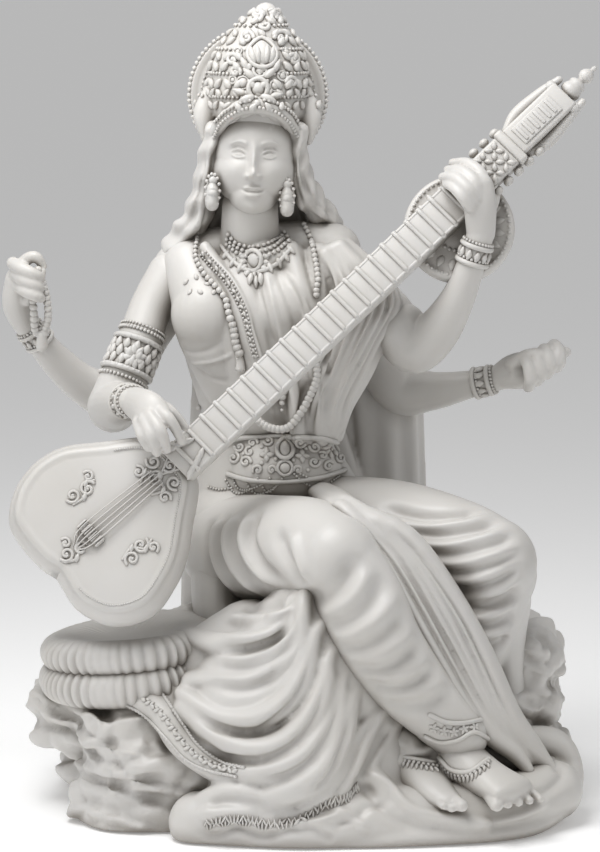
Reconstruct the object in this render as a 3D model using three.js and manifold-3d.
import * as THREE from 'three';
import { mergeVertices } from 'three/addons/utils/BufferGeometryUtils.js';
import Module from 'manifold-3d';

const wasm = await Module();
wasm.setup();

// Driving sizes in millimetres
const statueHeight = 235;
const plinthWidth = 162;
const plinthDepth = 112;
const plinthHeight = 64;
const cushionRadius = 27;
const cushionThickness = 22;
const cushionRibs = 14;
const haloRadius = 21.2;
const haloThickness = 2.4;
const haloTeeth = 22;
const veenaBodyLength = 53;
const veenaBodyWidth = 53;
const veenaBodyShift = 3;
const veenaBodyDepth = 23;
const veenaRim = 1.2;
const neckLength = 122;
const neckWidth = 11;
const neckDepth = 8;
const fretCount = 24;
const fretHeight = 0.9;
const upperGourdRadius = 16.2;
const upperGourdDepth = 19;
const pegBlockLength = 9;
const pegBoxLength = 21;
const pegBoxWidth = 9;
const pegRadius = 1.7;
const barCount = 6;
const barHeight = 0.5;
const finialLength = 14;

// The figure is drawn on a grid with this many steps to the statue's height
const gridHeight = 235;
const grid = statueHeight / gridHeight;

const toViewer = new THREE.Vector3(0, -1, 0);
const upward = new THREE.Vector3(0, 0, 1);
const sideways = new THREE.Vector3(1, 0, 0);

const marble = new THREE.MeshStandardMaterial({ color: 0xe9e7e2, roughness: 0.5, metalness: 0 });

function toSolid(geometry) {
  geometry.deleteAttribute('normal');
  geometry.deleteAttribute('uv');
  const merged = mergeVertices(geometry);
  const corners = [];
  const index = merged.index.array;
  for (let i = 0; i < index.length; i += 3) {
    const [a, b, c] = [index[i], index[i + 1], index[i + 2]];
    if (a !== b && b !== c && c !== a) corners.push(a, b, c);
  }
  const mesh = new wasm.Mesh({
    numProp: 3,
    vertProperties: new Float32Array(merged.attributes.position.array),
    triVerts: new Uint32Array(corners),
  });
  return new wasm.Manifold(mesh);
}

function joined(parts) {
  return parts.reduce((whole, part) => whole.add(part));
}

// A closed skin whose rows and sides are put where the given function says
function skin(sides, rows, place) {
  const shape = new THREE.SphereGeometry(1, sides, rows);
  const spots = shape.attributes.position;
  for (let i = 0; i < spots.count; i += 1) {
    const row = Math.floor(i / (sides + 1));
    const turn = ((i % (sides + 1)) % sides) / sides;
    const spot = place(row, turn * Math.PI * 2);
    spots.setXYZ(i, spot.x, spot.y, spot.z);
  }
  return toSolid(shape);
}

// A rounded bar along a curve; each stop is x, y, z, half width and half thickness
function limb(stops, {
  sides = 6, rows = 4, capRows = 1, up = toViewer, scale = grid, wave = () => 1,
} = {}) {
  const path = new THREE.CatmullRomCurve3(stops.map(([x, y, z]) => new THREE.Vector3(x, y, z)));
  const girth = new THREE.CatmullRomCurve3(stops.map(([, , , w, t]) => new THREE.Vector3(w, t, 0)));
  const capReach = capRows > 1 ? 1 : 0.7;
  const lastRow = rows + 2 * capRows;
  return skin(sides, lastRow, (row, turn) => {
    const along = THREE.MathUtils.clamp((row - capRows) / rows, 0, 1);
    const over = Math.max(capRows - row, row - (lastRow - capRows), 0) / capRows;
    const ahead = path.getTangent(along);
    const across = new THREE.Vector3().crossVectors(up, ahead).normalize();
    const front = new THREE.Vector3().crossVectors(ahead, across);
    const { x: wide, y: thick } = girth.getPoint(along);
    const bend = over * Math.PI / 2;
    const reach = Math.sin(bend) * Math.min(wide, thick) * capReach * (row < capRows ? -1 : 1);
    const swell = Math.cos(bend) * wave(turn, along);
    return path.getPoint(along)
      .addScaledVector(ahead, reach)
      .addScaledVector(across, Math.cos(turn) * wide * swell)
      .addScaledVector(front, -Math.sin(turn) * thick * swell)
      .multiplyScalar(scale);
  });
}

// Cloth gathered lengthways: a limb with ridges along it
function gathered(stops, ridges, depth, rows, options = {}) {
  const wave = (turn) => 1 + depth * Math.cos(ridges * turn);
  return limb(stops, { sides: ridges * 2, rows, wave, ...options });
}

// Cloth wound round: a limb with ridges across it
function wrapped(stops, ridges, depth, sides, options = {}) {
  const wave = (turn, along) => 1 - depth * Math.cos(ridges * along * Math.PI * 2);
  return limb(stops, { sides, rows: ridges * 2, wave, ...options });
}

function fold(stops, options = {}) {
  return limb(stops, { sides: 4, rows: Math.max(3, stops.length - 1), ...options });
}

function ball([x, y, z, rx, ry, rz], sides = 8, rows = 5) {
  return skin(sides, rows, (row, turn) => {
    const tilt = (row / rows) * Math.PI;
    const out = Math.sin(tilt);
    return new THREE.Vector3(
      x + rx * out * Math.cos(turn),
      y + ry * out * Math.sin(turn),
      z + rz * Math.cos(tilt),
    ).multiplyScalar(grid);
  });
}

// A turned shape about Z; each stop is radius and height, from the top down
function turned(stops, sides, wave = () => 1) {
  return skin(sides, stops.length - 1, (row, turn) => {
    const [radius, height] = stops[row];
    const reach = radius * wave(turn);
    return new THREE.Vector3(reach * Math.cos(turn), reach * Math.sin(turn), height);
  });
}

function moved(solid, matrix) {
  return solid.transform(matrix.elements);
}

// Plinth stones; centres and half sizes are percentages of the plinth's width, depth and height
const stones = [
  [-18, -23, 14, 21.5, 19, 25],
  [-32.5, 3, 42, 16.5, 25, 20],
  [-25, -20, 42, 14, 18, 16],
  [39.5, 0, 66, 8, 20, 19],
  [0, 2, 29, 42, 40, 37],
  [1, 10, 58, 26, 30, 40],
  [35, 4, 46, 12.5, 26, 19],
  [35, 0, 18, 14.5, 28, 24],
  [0, 30, 34, 36, 17, 40],
];

function stone([x, y, z, rx, ry, rz], order) {
  const shape = new THREE.IcosahedronGeometry(1, 1);
  const spots = shape.attributes.position;
  const blocky = 0.72;
  for (let i = 0; i < spots.count; i += 1) {
    const [px, py, pz] = [spots.getX(i), spots.getY(i), spots.getZ(i)];
    const rough = 1 + 0.06 * Math.sin(4 * px + 2.3 * order) * Math.cos(5 * py - order)
      + 0.06 * Math.sin(6 * pz + 1.7 * order + 3 * px);
    const [bx, by, bz] = [px, py, pz].map((v) => Math.sign(v) * Math.abs(v) ** blocky * rough);
    spots.setXYZ(
      i,
      (x + rx * bx) * plinthWidth / 100,
      (y + ry * by) * plinthDepth / 100,
      (z + rz * bz) * plinthHeight / 100,
    );
  }
  return toSolid(shape);
}

function plinth() {
  return joined(stones.map(stone));
}

function floorCloth() {
  return joined([
    limb([[-28.5, -50, 5, 9, 9], [0, -54, 5, 10, 9], [28.5, -50, 5.5, 10, 10], [57, -44, 7.5, 10, 9],
      [73, -32, 9.5, 9, 9]],
      { sides: 5, rows: 5, up: upward }),
    limb([[-28, -50, 2.5, 6, 4.5], [0, -56, 0.5, 6, 4], [34, -54, 2.5, 7, 4], [60, -46, 2.5, 8, 4],
      [75.5, -30, 5.5, 6, 4]],
      { sides: 5, rows: 5, up: upward }),
    limb([[-30.5, -48, 6.5, 3, 3], [-21.5, -52, 12, 6, 5], [-10.5, -55, 11, 5, 5], [0, -56, 8.5, 3, 4]],
      { sides: 5, rows: 3, up: upward }),
    fold([[64, -26, 22.5, 5, 4], [74, -22, 20.5, 5, 5], [79, -22, 13.5, 4, 5], [76, -30, 8.5, 5, 5],
      [66, -42, 5.5, 5, 4]]),
    fold([[20.5, -50, 17, 4, 4], [31, -55, 9, 4, 4], [51, -56, 6, 3, 3]]),
    ball([22, -26, 2, 50, 30, 9.5], 10, 4),
  ]);
}

function cushionTier(radius, top, thickness, dish) {
  const half = thickness / 2;
  const ribDepth = 0.035;
  const profile = [[0, top - thickness * dish], [radius * 0.74, top]];
  for (const lean of [30, -30]) {
    const angle = THREE.MathUtils.degToRad(lean);
    profile.push([radius - half + half * Math.cos(angle), top - half + half * Math.sin(angle)]);
  }
  profile.push([0, top - thickness]);
  return turned(profile, cushionRibs * 2, (turn) => 1 + ribDepth * Math.cos(cushionRibs * turn));
}

function cushion() {
  const [x, y, z] = [-48, -15, 43];
  const tierThickness = cushionThickness * 0.56;
  const lower = cushionTier(cushionRadius, cushionThickness * 0.52, tierThickness, 0);
  const upper = cushionTier(cushionRadius * 0.93, cushionThickness, tierThickness, 0.2);
  const lean = new THREE.Matrix4().makeRotationY(THREE.MathUtils.degToRad(-6));
  lean.setPosition(x * grid, y * grid, z * grid - cushionThickness / 2);
  return moved(lower.add(upper), lean);
}

function torso() {
  return joined([
    limb([[-7.5, 14, 85.5, 27, 16], [-9, 14, 96, 23, 15], [-10, 13, 109, 18, 12.5],
      [-13, 12, 132.5, 21.5, 13.5],
      [-13.5, 12, 147.5, 23.5, 13.5], [-14, 14, 157.5, 21, 10],
        [-14, 13, 163.5, 11, 8]], { sides: 9, rows: 6 }),
    limb([[-15, 10, 161, 8, 8], [-14.5, 5, 175, 7, 7]], { sides: 7, rows: 2 }),
    ball([-27, 0, 145, 10.5, 11, 12]),
    ball([-5, 0, 146.5, 10.5, 11, 12]),
    limb([[-35.5, 14, 156.5, 8, 8], [-25, 13, 161, 8, 8], [-2.5, 13, 162.5, 8, 8],
      [10, 12, 162, 8, 8]], { rows: 3, up: upward }),
    ball([-4.5, 6, 97.5, 17, 13, 13]),
  ]);
}

// Cloth over the left shoulder, gathered down to the belt
function shoulderDrape() {
  return joined([
    limb([[6, 12, 162, 7, 8], [12, 9, 154, 8, 9], [23.5, 5, 145, 8.5, 9],
      [31, 3, 136.5, 7.5, 8]], { sides: 7, rows: 4 }),
    gathered([[9.5, 4, 160.5, 7, 7], [19.5, 0, 147.5, 12, 9], [19, -1, 130, 11, 9],
      [10.5, 0, 110, 8, 8]], 5, 0.1, 3),
    fold([[-12, -2, 160, 3, 3], [-9.5, -9, 143.5, 3, 3], [-4.5, -6, 126, 3, 4]]),
    fold([[-3, 0, 163.5, 3, 3], [1.5, -7, 146.5, 3, 3], [6, -6, 126, 3, 4]]),
    fold([[-26.5, 2, 163.5, 2.5, 3], [-17.5, -8, 149.5, 2.5, 3], [-11, -9, 135, 2.5, 3],
      [-9, -6, 120, 2, 3]]),
  ]);
}

function hips() {
  return joined([
    ball([-8.5, 12, 81.5, 29, 20, 15], 8, 5),
    limb([[-22.5, 8, 82, 9, 12], [-24.5, 4, 70.5, 8, 13], [-23, 0, 55.5, 8.5, 14],
      [-14, -8, 41.5, 12, 14]], { rows: 3 }),
  ]);
}

function rightLeg() {
  return joined([
    wrapped([[-19, 6, 74.5, 17, 16], [-8, -12, 77, 16, 15.5], [3, -30, 79.5, 14.5, 15],
      [10, -42, 79, 12.5, 13]], 2, 0.04, 8,
      { capRows: 2, up: upward }),
    wrapped([[11.5, -42, 78.5, 12, 11.5], [17.5, -45, 67, 12.5, 12], [22.5, -45, 56, 12, 12],
      [29.5, -43, 45.5, 11, 11.5],
      [37, -41, 37, 10, 10], [43, -40, 30, 9, 9]], 4, 0.05, 7),
    limb([[42, -40, 32, 6.5, 6.5], [45, -40, 23, 6, 6.5], [48, -42, 18.5, 6.5, 7]], { rows: 2 }),
    limb([[47, -42, 20.5, 7, 6], [53.5, -49, 17, 7, 5],
      [58.5, -54, 14.5, 7, 3.5]], { rows: 2, up: upward }),
    ...[0, 1, 2, 3, 4].map((toe) => limb([
      [55 + 3.1 * toe, -57 + 1.2 * toe, 14.5 - 0.3 * toe, 1.8, 1.8],
      [57 + 3.6 * toe, -60.5 + 1.4 * toe, 12.8 - 0.2 * toe, 1.6, 1.5],
    ], { sides: 4, rows: 1, up: upward })),
  ]);
}

function leftLeg() {
  return joined([
    gathered([[3, 8, 79.5, 16, 16], [26.5, -4, 80.5, 16, 15.5], [46.5, -17, 78, 15.5, 14.5],
      [58.5, -24, 74.5, 14, 13.5]],
      6, 0.05, 3, { up: upward }),
    limb([[56, -22, 71, 12, 12], [49, -24, 52, 11, 11], [38, -28, 35, 8, 8],
      [32.5, -31, 25, 5.5, 6]], { rows: 3 }),
    limb([[30, -32, 21.5, 6.5, 6], [34.5, -42, 16.5, 6, 5.5], [41.5, -52, 12, 5.5, 3.5],
      [44.5, -56, 11.5, 3, 2]],
      { rows: 3, up: upward }),
  ]);
}

// Pleats that fall between the two legs
function pleats() {
  return joined([
    fold([[15, -34, 91.5, 3, 4], [29.5, -38, 83.5, 4, 6], [41.5, -38, 66.5, 4, 8],
      [51.5, -38, 49.5, 4, 7], [59, -36, 32.5, 4, 7],
      [67.5, -32, 21, 4, 5]]),
    fold([[13, -38, 91.5, 2.5, 4], [26, -40, 80, 3, 6], [36.5, -41, 64, 3.5, 7],
      [45.5, -40, 47.5, 3.5, 6], [54.5, -38, 30.5, 3.5, 6],
      [63, -38, 20.5, 3, 4]]),
    limb([[58.5, -14, 47, 6, 8], [60.5, -14, 35, 6, 8], [60.5, -16, 20.5, 7, 10]], { rows: 2 }),
  ]);
}

// Skirt that spreads from the right knee to the floor
function skirt() {
  return joined([
    limb([[0, -28, 65, 9, 14], [-5, -30, 50.5, 16, 17], [-11, -30, 33, 24, 20],
      [-6, -28, 14.5, 26, 24], [0, -26, 0.5, 26, 26]],
      { sides: 7, rows: 4 }),
    fold([[0.5, -48, 63.5, 2.5, 4], [-2.5, -50, 52, 3.5, 5], [-12.5, -48, 43.5, 4, 6],
      [-27.5, -40, 41, 3.5, 6]]),
    fold([[1.5, -49, 69, 2.5, 3], [1, -53, 52.5, 3.5, 5], [-4.5, -55, 40, 4, 5],
      [-17, -53, 33.5, 4, 6], [-30.5, -43, 38, 3.5, 6],
      [-40, -34, 39.5, 3, 6]]),
    fold([[3.5, -50, 57.5, 2.5, 4], [2, -55, 41.5, 3.5, 5], [-5, -57, 31, 4, 5],
      [-16, -55, 26.5, 4, 6], [-29.5, -47, 29.5, 3.5, 6],
      [-38, -38, 36, 2.5, 5]]),
    fold([[8, -48, 50, 2.5, 4], [4.5, -54, 36.5, 3.5, 5], [-4, -58, 24.5, 4, 6], [-15, -56, 21, 4, 6]]),
    fold([[12.5, -46, 46.5, 3, 5], [9.5, -52, 35, 4, 5], [7.5, -57, 23.5, 4, 6], [-0.5, -60, 16, 5, 5],
      [-10.5, -58, 13, 4, 5]]),
    fold([[21.5, -40, 40, 3, 5], [14, -48, 27.5, 4, 6], [9.5, -55, 18, 4, 6], [3.5, -58, 11, 4, 5]]),
    fold([[-51.5, -34, 38, 3, 4], [-40.5, -40, 35.5, 4, 5], [-34, -46, 27, 4, 5],
      [-25, -50, 20.5, 3.5, 5], [-18, -52, 19, 3, 5]]),
    limb([[-37.5, -26, 38, 10, 12], [-29, -32, 30.5, 12, 14], [-20, -36, 25.5, 14, 16]], { rows: 2 }),
  ]);
}

// Back cloth that hangs behind the left elbow, and the shawl down the back
function veil() {
  return joined([
    gathered([[15.5, 26, 146, 13, 6], [23.5, 33, 118, 12.5, 6], [25.5, 34, 84, 12.5, 8],
      [25.5, 32, 40.5, 15, 12]], 5, 0.08, 4),
    gathered([[-14, 24, 160, 19, 10], [-12, 28, 130, 20, 12], [-6, 34, 80, 29, 16],
      [-2, 35, 43, 34, 19]], 7, 0.06, 3),
  ]);
}

function belt() {
  return limb([[-3.5, 7, 97, 21, 17], [-4, 8, 103.5, 20, 16]], { sides: 10, rows: 1 });
}

function rightFrontArm() {
  return joined([
    limb([[-38, 12, 154.5, 7.5, 7.5], [-43.5, 9, 146, 6.5, 7], [-47.5, 4, 135, 6.5, 7],
      [-51.5, 1, 125.5, 7, 7], [-54.5, 0, 117, 8, 8]],
      { sides: 7, rows: 4, capRows: 2 }),
    limb([[-47.5, 5, 136.5, 8.5, 8.5], [-50, 2, 129, 9, 8.5]], { sides: 8, rows: 1 }),
    limb([[-55.5, 0, 116.5, 8, 7.5], [-52, -14, 120, 6.5, 6],
      [-48, -26, 122, 5, 4.5]], { rows: 2, up: upward }),
    limb([[-47.5, -28, 122.5, 4.5, 3.5], [-43, -36, 120.5, 5.5, 3.5],
      [-40.5, -39, 118.5, 5, 3]], { rows: 2 }),
    limb([[-39.5, -38, 121.5, 1.5, 1.5], [-35.5, -41, 117.5, 1.5, 1.5],
      [-33.5, -39.5, 113, 1.5, 1.5]], { sides: 4, rows: 2 }),
    limb([[-41.5, -40, 119.5, 2, 2], [-39, -43, 115, 1.5, 1.5],
      [-37.5, -41, 110.5, 1.5, 1.5]], { sides: 4, rows: 2 }),
    limb([[-43.5, -40, 118, 2, 2], [-41.5, -42.5, 113.5, 1.5, 1.5],
      [-40.5, -41, 110, 1.5, 1.5]], { sides: 4, rows: 2 }),
    limb([[-41, -34, 122.5, 2, 2], [-36.5, -36, 120, 1.5, 1.5],
      [-33, -36, 116, 1.5, 1.5]], { sides: 4, rows: 2 }),
  ]);
}

function rightRearArm() {
  return joined([
    limb([[-34, 20, 154, 7.5, 7.5], [-45, 24, 137, 7, 7], [-56.5, 22, 119, 7, 7],
      [-64.5, 19, 121, 6, 6], [-72.5, 15, 129, 5, 5],
      [-79, 11, 137.5, 4, 4]], { rows: 6 }),
    limb([[-79, 11, 137.5, 5, 5], [-81.5, 10, 140.5, 5, 5]], { sides: 7, rows: 1 }),
    limb([[-79.5, 11, 137.5, 4, 3.5], [-83, 7, 146.5, 5, 4.5], [-82, 3, 155.5, 5, 4.5]], { rows: 3 }),
    ...[0, 1, 2].map((finger) => limb([
      [-81.5 + 0.6 * finger, -1, 158.5 - 3.1 * finger, 2, 2],
      [-77 + 0.2 * finger, -3.5, 156.5 - 3.1 * finger, 1.7, 1.7],
    ], { sides: 4, rows: 1, up: sideways })),
    limb([[-81, 2, 156.5, 2, 2], [-77.5, 0, 160.5, 2, 2],
      [-75.5, -1, 159.5, 1.5, 1.5]], { sides: 4, rows: 2 }),
    limb([[-76.5, -3, 158.5, 1, 1], [-75, -2, 150, 1.5, 1.5], [-74.5, 0, 141, 1.5, 1.5],
      [-77, 2, 136.5, 1.5, 1.5]], { sides: 4, rows: 3 }),
  ]);
}

function leftFrontArm() {
  return joined([
    limb([[33, 1, 134.5, 7.5, 7.5], [40.5, -3, 140, 6.5, 6.5], [46, -9, 150, 5, 5],
      [49.5, -13, 160.5, 4.5, 4.5],
      [52, -14, 168.5, 4, 4]], { rows: 5 }),
    limb([[49.5, -13, 161, 5.5, 5.5], [51.5, -14, 167.5, 5, 5]], { sides: 7, rows: 1 }),
    limb([[52, -14, 169, 4, 3.5], [51.5, -16, 177.5, 5, 4], [50.5, -16, 183.5, 5, 4]], { rows: 2 }),
    limb([[52.5, -16, 181.5, 2, 2], [51.5, -15, 186.5, 2, 2], [48, -10, 189.5, 1.5, 1.5],
      [44.5, -4, 189, 1.5, 1.5]],
      { sides: 4, rows: 3, up: sideways }),
    limb([[51, -18, 181, 2, 2], [49, -17.5, 185.5, 2, 2], [46, -13, 187.5, 1.5, 1.5],
      [43, -7, 187, 1.5, 1.5]],
      { sides: 4, rows: 3, up: sideways }),
    limb([[49, -18, 180.5, 2, 2], [47, -19, 184, 2, 2], [44, -15, 185.5, 1.5, 1.5],
      [41.5, -9, 185, 1.5, 1.5]],
      { sides: 4, rows: 3, up: sideways }),
    limb([[53.5, -12, 174.5, 2, 2], [56, -6, 179.5, 2, 2],
      [56.5, 2, 183, 1.5, 1.5]], { sides: 4, rows: 2 }),
  ]);
}

function leftRearArm() {
  return joined([
    limb([[9, 20, 157, 7.5, 7.5], [20, 26, 137, 7.5, 7.5], [29.5, 24, 120, 8, 8], [39, 20, 119, 6, 6],
      [51, 14, 122, 4, 4],
      [57.5, 12, 124, 4, 4]], { rows: 6 }),
    limb([[53, 13, 122.5, 5.5, 5.5], [57, 12, 124, 5, 5]], { sides: 7, rows: 1 }),
    limb([[58, 12, 124, 3.5, 3.5], [63.5, 10, 126, 5.5, 5], [69.5, 9, 127, 6, 5]], { rows: 2 }),
    ...[0, 1, 2, 3].map((finger) => limb([
      [67.5 + 3 * finger, 3 + finger, 129.5 + 1.3 * finger, 2, 2.2],
      [67.5 + 2.9 * finger, 0.5 + finger, 123.3 + 1.6 * finger, 2, 2.2],
    ], { sides: 4, rows: 1, up: sideways })),
    limb([[63.5, 6, 129.5, 2.5, 2], [69, 4, 132, 2, 2], [73, 3, 131.5, 2, 2]], { sides: 4, rows: 2 }),
    limb([[65, 6, 126.5, 1.5, 1.5], [78, 5, 132.5, 1.5, 1.5]], { sides: 6, rows: 1 }),
  ]);
}

function head() {
  return joined([
    ball([-13.5, 6, 190.5, 11.5, 13.5, 15], 8, 6),
    limb([[-14.5, 0, 183.5, 8, 8], [-14.5, -4, 178, 4.5, 4.5]], { sides: 7, rows: 2 }),
    limb([[-14.5, -6, 197, 1.5, 2], [-14.5, -7, 189, 2, 4.5]], { sides: 4, rows: 1 }),
  ]);
}

function hair() {
  return joined([
    gathered([[-13, 16, 194.5, 13, 11], [-13.5, 22, 179.5, 15, 10], [-15, 26, 164, 21, 9],
      [-14.5, 28, 145.5, 20, 8]], 5, 0.05, 4),
    fold([[-25.5, 2, 198.5, 3, 4], [-27, 6, 190, 3.5, 5], [-28, 10, 180, 3.5, 6],
      [-31.5, 12, 170.5, 4.5, 6], [-36, 16, 163.5, 4, 6]]),
    fold([[-0.5, 2, 198.5, 3, 4], [-0.5, 6, 190, 3.5, 5], [0.5, 10, 181.5, 4, 6],
      [4.5, 13, 174.5, 4, 6], [10, 15, 170.5, 3.5, 6]]),
    limb([[-24.5, 6, 182.5, 2, 4], [-25, 6, 175, 2, 4.5]], { sides: 4, rows: 1 }),
    limb([[-4, 6, 182.5, 2, 4], [-4, 6, 174.5, 2, 4.5]], { sides: 4, rows: 1 }),
  ]);
}

function crown() {
  return joined([
    limb([[-12.5, 6, 201, 13.5, 14.5], [-12.5, 8, 207, 14.5, 14.5], [-12, 9, 214.5, 14.5, 13],
      [-11, 10, 221, 12, 11], [-10.5, 10, 227, 8.5, 8],
      [-10, 10, 232, 4, 4]], { sides: 9, rows: 5 }),
    limb([[-25, 0, 197, 2.5, 2.5], [-19.5, -6, 204, 2.5, 2.5], [-13, -8.5, 206, 3, 2.5],
      [-6, -6, 204, 2.5, 2.5],
      [-1, 0, 197.5, 2.5, 2.5]], { sides: 5, rows: 4 }),
    ball([-11, -2, 221, 3.5, 3, 5], 6, 4),
    ball([-12, -7, 210.5, 3.5, 2.5, 4], 6, 4),
    ball([-10, 4, 230.5, 3.5, 3, 4], 6, 4),
    limb([[-27.5, 6, 198, 2, 3], [-28, 7, 205.5, 2.5, 3],
      [-26.5, 8, 212, 1.5, 2]], { sides: 4, rows: 2 }),
    limb([[2.5, 6, 197.5, 2, 3], [3.5, 7, 205.5, 2.5, 3], [2, 8, 212, 1.5, 2]], { sides: 4, rows: 2 }),
  ]);
}

function halo() {
  const outline = new THREE.Shape();
  const corners = haloTeeth * 2;
  for (let i = 0; i < corners; i += 1) {
    const angle = (i / corners) * Math.PI * 2;
    const reach = haloRadius * (i % 2 ? 0.95 : 1);
    const [x, y] = [reach * Math.cos(angle), reach * Math.sin(angle)];
    if (i === 0) outline.moveTo(x, y);
    else outline.lineTo(x, y);
  }
  const plate = new THREE.ExtrudeGeometry(outline, { depth: haloThickness, bevelEnabled: false });
  const [x, y, z] = [-12.5, 20, 207.5];
  plate.rotateX(Math.PI / 2);
  plate.translate(x * grid, y * grid, z * grid);
  return toSolid(plate);
}

function necklaces() {
  return joined([
    limb([[-27, 8, 169, 2.5, 2], [-22.5, -2, 164.5, 3, 2], [-14, -6, 162.5, 3.5, 2],
      [-5, -2, 164.5, 3, 2], [-2, 8, 169.5, 2.5, 2]],
      { sides: 5, rows: 4 }),
    limb([[-29.5, 10, 169.5, 1.5, 1.5], [-27.5, -5, 160, 1.5, 1.5], [-21.5, -12, 150, 1.5, 1.5],
      [-18.5, -13, 138.5, 1.5, 1.5],
      [-17.5, -12, 129.5, 2, 2]], { sides: 4, rows: 4 }),
    limb([[0.5, 10, 169.5, 1.5, 1.5], [3.5, -1, 165, 1.5, 1.5], [5, -7, 156.5, 1.5, 1.5],
      [3.5, -12, 148.5, 1.5, 1.5]],
      { sides: 4, rows: 3 }),
    limb([[4.5, -4, 132.5, 1.5, 4], [3.5, -5, 122, 1.5, 4], [-3, -4, 111.5, 1.5, 4],
      [-10, -4, 112, 1.5, 4],
      [-14.5, -4, 119, 1.5, 4]], { sides: 4, rows: 4 }),
  ]);
}

// The veena's own axes: along its neck, across it, and out of its face
const veenaAlong = new THREE.Vector3(0.719, 0.211, 0.662).normalize();
const veenaAcross = new THREE.Vector3(-0.693, 0.286, 0.661).normalize();

function veenaFrame() {
  const out = new THREE.Vector3().crossVectors(veenaAlong, veenaAcross).normalize();
  const across = new THREE.Vector3().crossVectors(out, veenaAlong);
  const frame = new THREE.Matrix4().makeBasis(veenaAlong, across, out);
  const [x, y, z] = [-54, -38, 87];
  return frame.setPosition(x * grid, y * grid, z * grid);
}

// Heart outline with its notch away from the neck; notch is the share that it cuts in
function heart(length, width, notch) {
  const outline = new THREE.Shape();
  const tail = -length * 0.41;
  const nose = tail + length;
  const half = width / 2;
  const dip = tail * (1 - notch);
  outline.moveTo(nose, 0);
  outline.bezierCurveTo(nose * 0.85, half * 0.45, nose * 0.5, half * 0.86, 0, half);
  outline.bezierCurveTo(tail * 0.45, half * 1.02, tail * 1.02, half * 0.8, tail, half * 0.42);
  outline.bezierCurveTo(tail * 0.99, half * 0.2, tail * 0.97, half * 0.1, dip, 0);
  outline.bezierCurveTo(tail * 0.97, -half * 0.1, tail * 0.99, -half * 0.2, tail, -half * 0.42);
  outline.bezierCurveTo(tail * 1.02, -half * 0.8, tail * 0.45, -half * 1.02, 0, -half);
  outline.bezierCurveTo(nose * 0.5, -half * 0.86, nose * 0.85, -half * 0.45, nose, 0);
  return outline;
}

function veenaBody() {
  const curveSegments = 3;
  const shell = new THREE.ExtrudeGeometry(heart(veenaBodyLength, veenaBodyWidth, 0.03), {
    depth: veenaBodyDepth * 0.5,
    bevelThickness: veenaBodyDepth * 0.25,
    bevelSize: veenaRim * 3,
    bevelOffset: -veenaRim * 2,
    bevelSegments: 1,
    curveSegments,
  });
  shell.translate(-veenaRim / 2, veenaBodyShift - veenaRim, -veenaBodyDepth * 0.75);
  const facePlate = new THREE.ExtrudeGeometry(
    heart(veenaBodyLength - 2 * veenaRim, veenaBodyWidth - 2 * veenaRim, 0.12),
    { depth: veenaRim * 2, bevelEnabled: false, curveSegments },
  );
  facePlate.translate(0, veenaBodyShift, -veenaRim * 2.4);
  return toSolid(shell).add(toSolid(facePlate));
}

function block(length, width, depth, start, middle) {
  const box = new THREE.BoxGeometry(length, width, depth);
  box.translate(start + length / 2, 0, middle);
  return toSolid(box);
}

const neckStart = veenaBodyLength * 0.5;
const neckTop = neckDepth * 0.35;

function veenaNeck() {
  const side = new THREE.Shape();
  side.moveTo(neckStart, neckTop - neckDepth);
  side.lineTo(neckStart, neckTop);
  for (let i = 0; i < fretCount; i += 1) {
    const share = (i + 0.6) / fretCount;
    const spot = neckStart + neckLength * share ** 0.94;
    side.lineTo(spot - fretHeight * 0.7, neckTop);
    side.lineTo(spot, neckTop + fretHeight);
    side.lineTo(spot + fretHeight * 0.7, neckTop);
  }
  side.lineTo(neckStart + neckLength + 2, neckTop);
  side.lineTo(neckStart + neckLength + 2, neckTop - neckDepth);
  const bar = new THREE.ExtrudeGeometry(side, { depth: neckWidth, bevelEnabled: false });
  bar.rotateX(Math.PI / 2);
  bar.translate(0, neckWidth / 2, 0);
  return toSolid(bar);
}

function upperGourd() {
  const profile = [
    [0, 0], [upperGourdRadius * 0.5, 0], [upperGourdRadius * 0.93, -1.2], [upperGourdRadius, -3.2],
    [upperGourdRadius * 0.9, -upperGourdDepth * 0.5], [upperGourdRadius * 0.5, -upperGourdDepth * 0.9],
    [0, -upperGourdDepth],
  ];
  const bowl = turned(profile, 12);
  const seat = neckTop - neckDepth * 0.8;
  const spot = new THREE.Matrix4().makeTranslation(neckStart + neckLength * 0.87, -neckWidth * 0.27, seat);
  return moved(bowl, spot);
}

function finial(start) {
  const steps = [
    [0, 1], [0.085, 0.86], [0.185, 0.72], [0.07, 0.62], [0.19, 0.46], [0.215, 0.32], [0.17, 0.2],
    [0.235, 0.1], [0.145, 0], [0, -0.1],
  ];
  const shape = turned(steps.map(([radius, height]) => [radius * finialLength, height * finialLength]), 6);
  const lay = new THREE.Matrix4().makeRotationY(Math.PI / 2);
  lay.setPosition(start, 0, 0);
  return moved(shape, lay);
}

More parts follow.
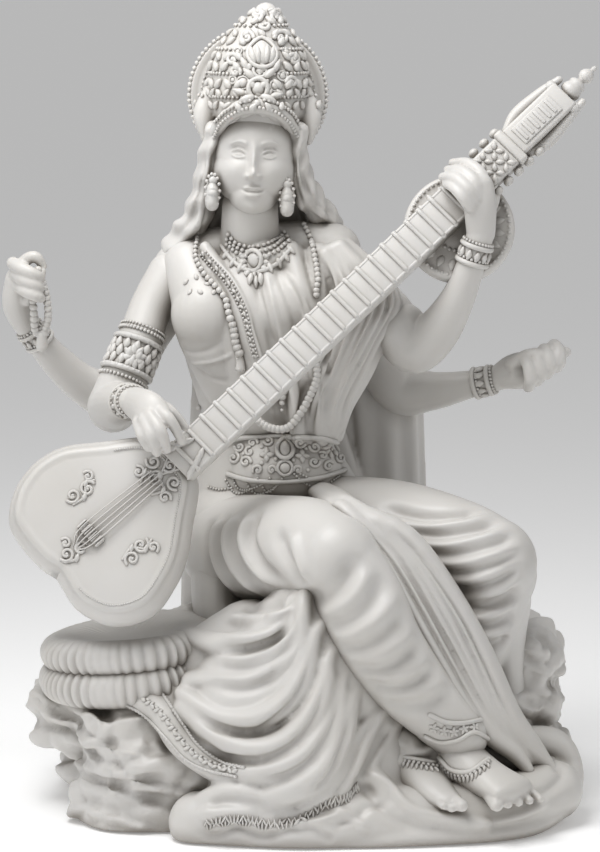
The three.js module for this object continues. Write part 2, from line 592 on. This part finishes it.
function veenaHead() {
  const blockStart = neckStart + neckLength;
  const boxStart = blockStart + pegBlockLength + 3;
  const pegs = [];
  for (let i = 0; i < 5; i += 1) {
    const peg = new THREE.OctahedronGeometry(pegRadius * 1.2);
    peg.translate(blockStart - 1 + i * 4, -neckWidth / 2 - 0.4, 0);
    pegs.push(toSolid(peg));
  }
  for (let i = 0; i < 3; i += 1) {
    const peg = new THREE.OctahedronGeometry(pegRadius * 1.1);
    peg.translate(blockStart + 1 + i * 4, neckWidth / 2 - 0.2, 0);
    pegs.push(toSolid(peg));
  }
  const wings = [-1, 1].map((way) => limb([
    [boxStart + 2, way * (pegBoxWidth / 2), -1, 1.2, 1.6],
    [boxStart + 8, way * (pegBoxWidth / 2 + 1.3), -1, 1.8, 1.6],
    [boxStart + pegBoxLength - 1, way * (pegBoxWidth / 2 + 1), 0, 1.5, 1.5],
    [boxStart + pegBoxLength + 2, way * (pegBoxWidth / 2 - 0.2), 1, 0.9, 1.3],
  ], { sides: 4, rows: 3, up: upward, scale: 1 }));
  const headDepth = neckDepth * 0.8;
  const box = block(pegBoxLength, pegBoxWidth, headDepth, boxStart - 0.5, 0);
  const barGap = (pegBoxLength - 7) / barCount;
  const bars = Array.from({ length: barCount }, (_, i) => (
    block(barGap / 2, pegBoxWidth * 0.5, barHeight * 2, boxStart + 3 + i * barGap, headDepth / 2)
  ));
  return joined([
    block(pegBlockLength + 1, neckWidth - 1, headDepth, blockStart - 0.5, 0),
    block(3, neckWidth + 0.6, neckDepth, blockStart + pegBlockLength, 0),
    box,
    ...bars,
    finial(boxStart + pegBoxLength - 1),
    ...wings,
    ...pegs,
  ]);
}

function veena() {
  return moved(joined([veenaBody(), veenaNeck(), upperGourd(), veenaHead()]), veenaFrame());
}

function statue() {
  const whole = joined([
    plinth(), floorCloth(), cushion(), torso(), shoulderDrape(), hips(), rightLeg(), leftLeg(), pleats(),
    skirt(), veil(), belt(), rightFrontArm(), rightRearArm(), leftFrontArm(), leftRearArm(), head(), hair(),
    crown(), halo(), necklaces(), veena(),
  ]);
  const floor = new THREE.BoxGeometry(statueHeight * 2, statueHeight * 2, statueHeight);
  floor.translate(0, 0, -statueHeight / 2);
  return whole.subtract(toSolid(floor));
}

const part = new THREE.Group();
const { vertProperties, triVerts } = statue().getMesh();
const surface = new THREE.BufferGeometry();
surface.setAttribute('position', new THREE.BufferAttribute(new Float32Array(vertProperties), 3));
surface.setIndex(new THREE.BufferAttribute(new Uint32Array(triVerts), 1));
surface.computeVertexNormals();
const cast = new THREE.Mesh(surface, marble);
cast.name = 'saraswati_statue';
part.add(cast);

export default part;
